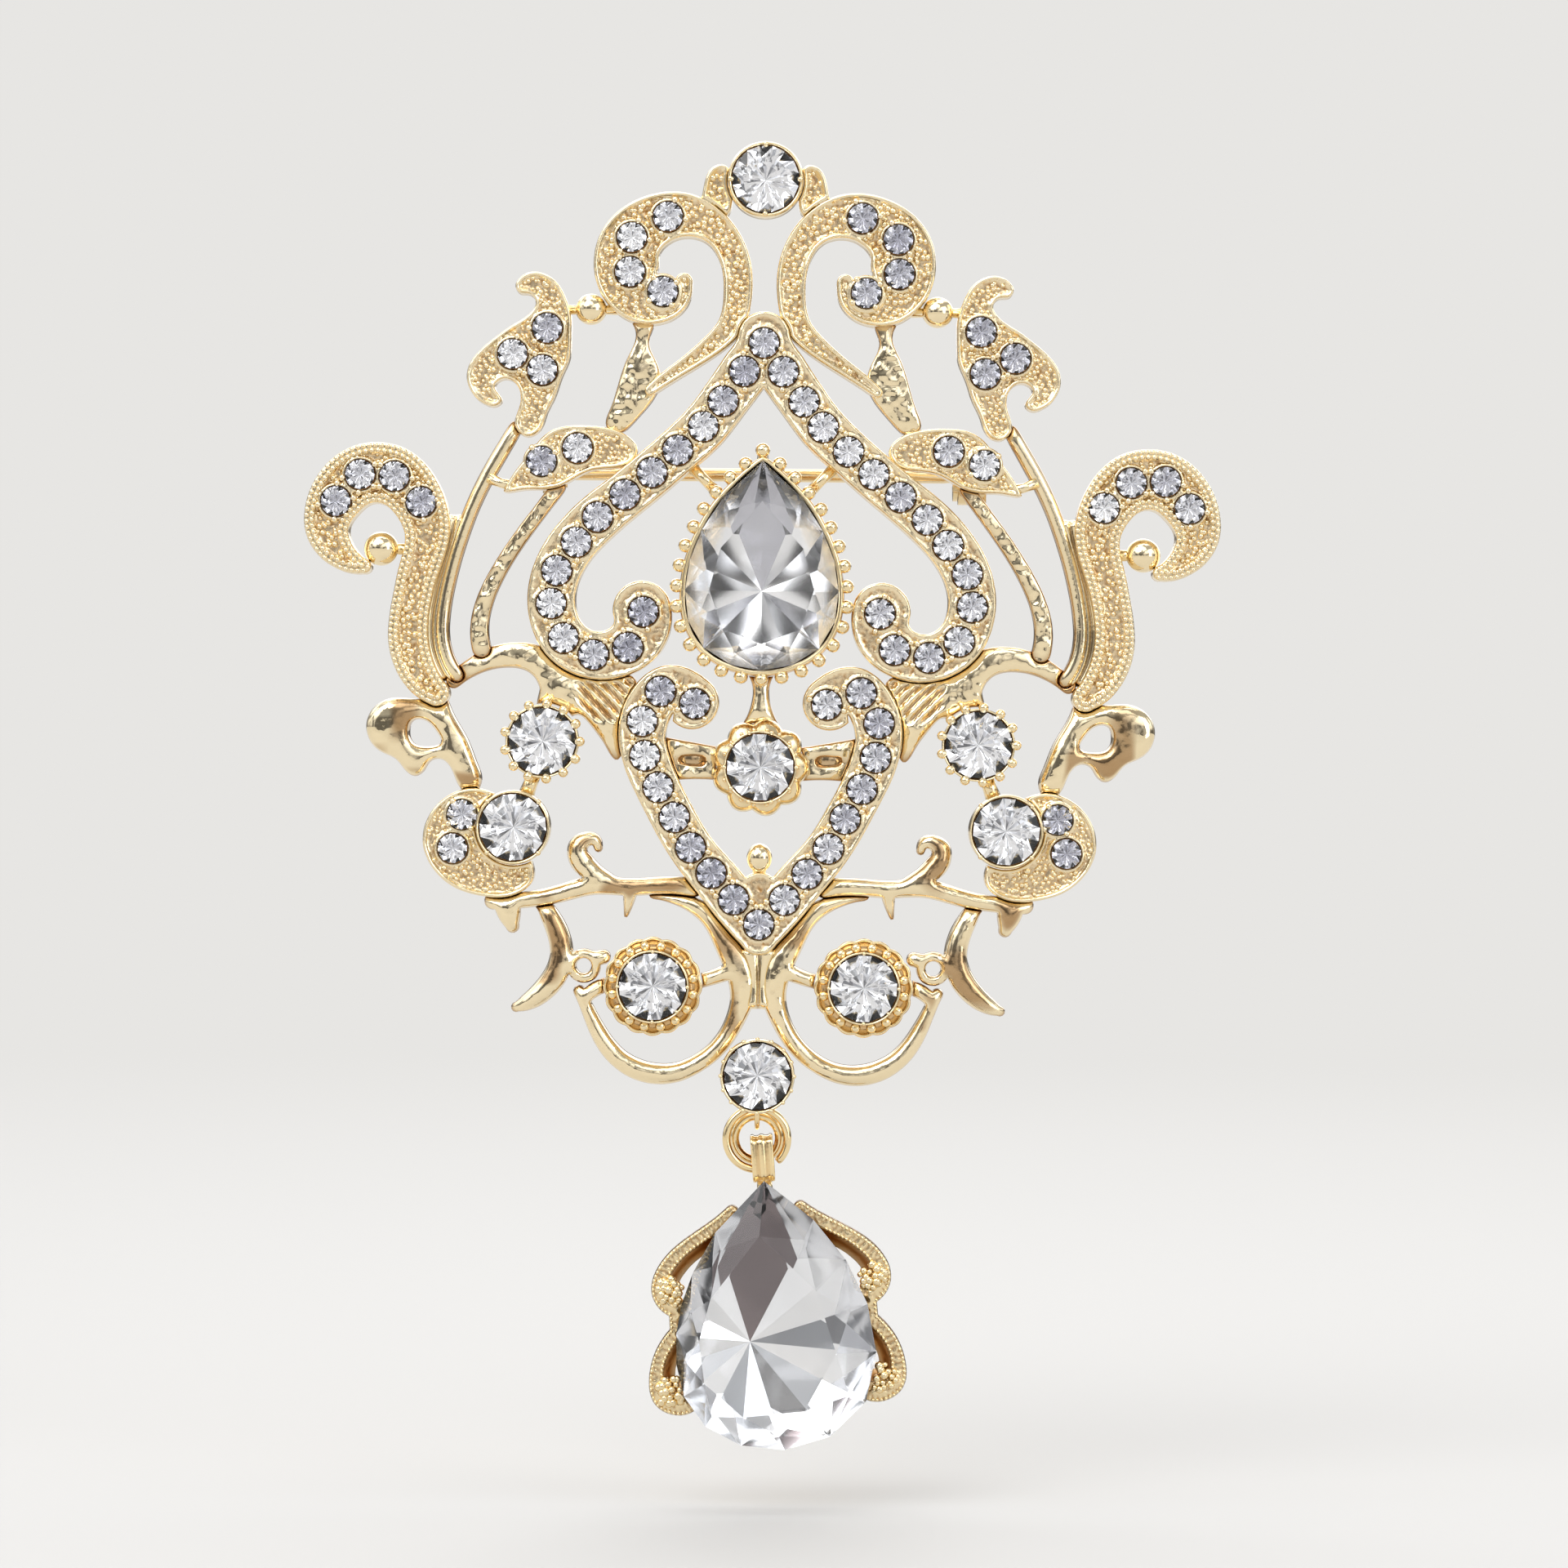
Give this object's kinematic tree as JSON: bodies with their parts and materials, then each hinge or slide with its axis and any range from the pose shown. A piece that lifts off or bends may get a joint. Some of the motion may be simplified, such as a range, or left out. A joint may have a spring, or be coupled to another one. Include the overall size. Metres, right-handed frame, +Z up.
{
  "type": "brooch",
  "caption": "Upright openwork costume brooch in gold plate, pave bands and scrolls round a pear stone, with a swinging pear drop and a hinged pin behind.",
  "frame": {"origin": "middle of the pin wire, behind the ornament", "axes": "+Z up as worn, +X along the pin towards its point, front of the brooch faces -Y"},
  "size_m": [0.0612, 0.0104, 0.0873],
  "materials": {
    "granulated_gold": "gold plate over a granulated casting, polished rims",
    "polished_gold": "polished gold plate",
    "cup_gold": "polished gold plate with beaded prongs",
    "lace_gold": "fine textured gold plate",
    "link_gold": "bright drawn wire, gold plated",
    "findings_gold": "satin gold plate",
    "pin_wire": "bright drawn wire, pale gold plate",
    "pear_crystal": "clear foil-backed crystal",
    "round_crystal": "clear foil-backed crystal",
    "melee_crystal": "clear foil-backed crystal"
  },
  "bodies": {
    "frame": {"ball_accents": "granulated_gold", "base_cup": "cup_gold", "bottom_loop_left": "polished_gold", "bottom_loop_right": "polished_gold", "catch_base": "findings_gold", "center_post": "polished_gold", "cheek_cup_left": "cup_gold", "cheek_cup_right": "cup_gold", "crescent_left": "polished_gold", "crescent_right": "polished_gold", "crown_blade_left": "granulated_gold", "crown_blade_right": "granulated_gold", "crown_cup": "cup_gold", "crown_scroll_left": "granulated_gold", "crown_scroll_right": "granulated_gold", "flame_leaf_left": "granulated_gold", "flame_leaf_right": "granulated_gold", "hanger_loop": "link_gold", "heart_arms": "polished_gold", "heart_cup": "cup_gold", "heart_frame": "granulated_gold", "heart_melee": "melee_crystal", "hinge_bracket": "findings_gold", "hinge_rivet": "findings_gold", "hip_bracket_left": "polished_gold", "hip_bracket_right": "polished_gold", "hook_leaf_left": "polished_gold", "hook_leaf_right": "polished_gold", "inner_arm_left": "polished_gold", "inner_arm_right": "polished_gold", "jowl_cup_left": "cup_gold", "jowl_cup_right": "cup_gold", "leaf_melee": "melee_crystal", "lobe_left": "granulated_gold", "lobe_right": "granulated_gold", "lower_cup_left": "cup_gold", "lower_cup_right": "cup_gold", "outer_arc_left": "polished_gold", "outer_arc_right": "polished_gold", "pear_cup": "cup_gold", "pear_stone": "pear_crystal", "round_stones": "round_crystal", "scroll_melee": "melee_crystal", "shoulder_leaf_left": "granulated_gold", "shoulder_leaf_right": "granulated_gold", "side_scroll_left": "granulated_gold", "side_scroll_right": "granulated_gold", "spade_frame": "granulated_gold", "spade_melee": "melee_crystal", "thorn_branch_left": "polished_gold", "thorn_branch_right": "polished_gold"},
    "pin": {"pin_stem": "pin_wire"},
    "roller": {"catch_roller": "findings_gold"},
    "rings": {"jump_ring": "link_gold", "inner_ring": "link_gold"},
    "drop": {"drop_bezel": "lace_gold", "drop_stone": "pear_crystal", "drop_bail": "link_gold", "drop_lace": "lace_gold"}
  },
  "joints": [
    {"name": "pin_hinge", "type": "hinge", "parent": "frame", "child": "pin", "pos_m": [-0.0143, 0, 0], "axis": [0, 0, 1], "range_deg": [0, 95]},
    {"name": "catch_roll", "type": "hinge", "parent": "frame", "child": "roller", "pos_m": [0.0139, 0, 0], "axis": [1, 0, 0], "range_deg": [0, 100]},
    {"name": "ring_tilt", "type": "hinge", "parent": "frame", "child": "rings", "pos_m": [0, -0.00266, -0.04298], "axis": [1, 0, 0], "range_deg": [-30, 30]},
    {"name": "drop_swing", "type": "hinge", "parent": "rings", "child": "drop", "pos_m": [0, -0.00266, -0.04475], "axis": [0, 1, 0], "range_deg": [-25.5, 34.5]}
  ]
}
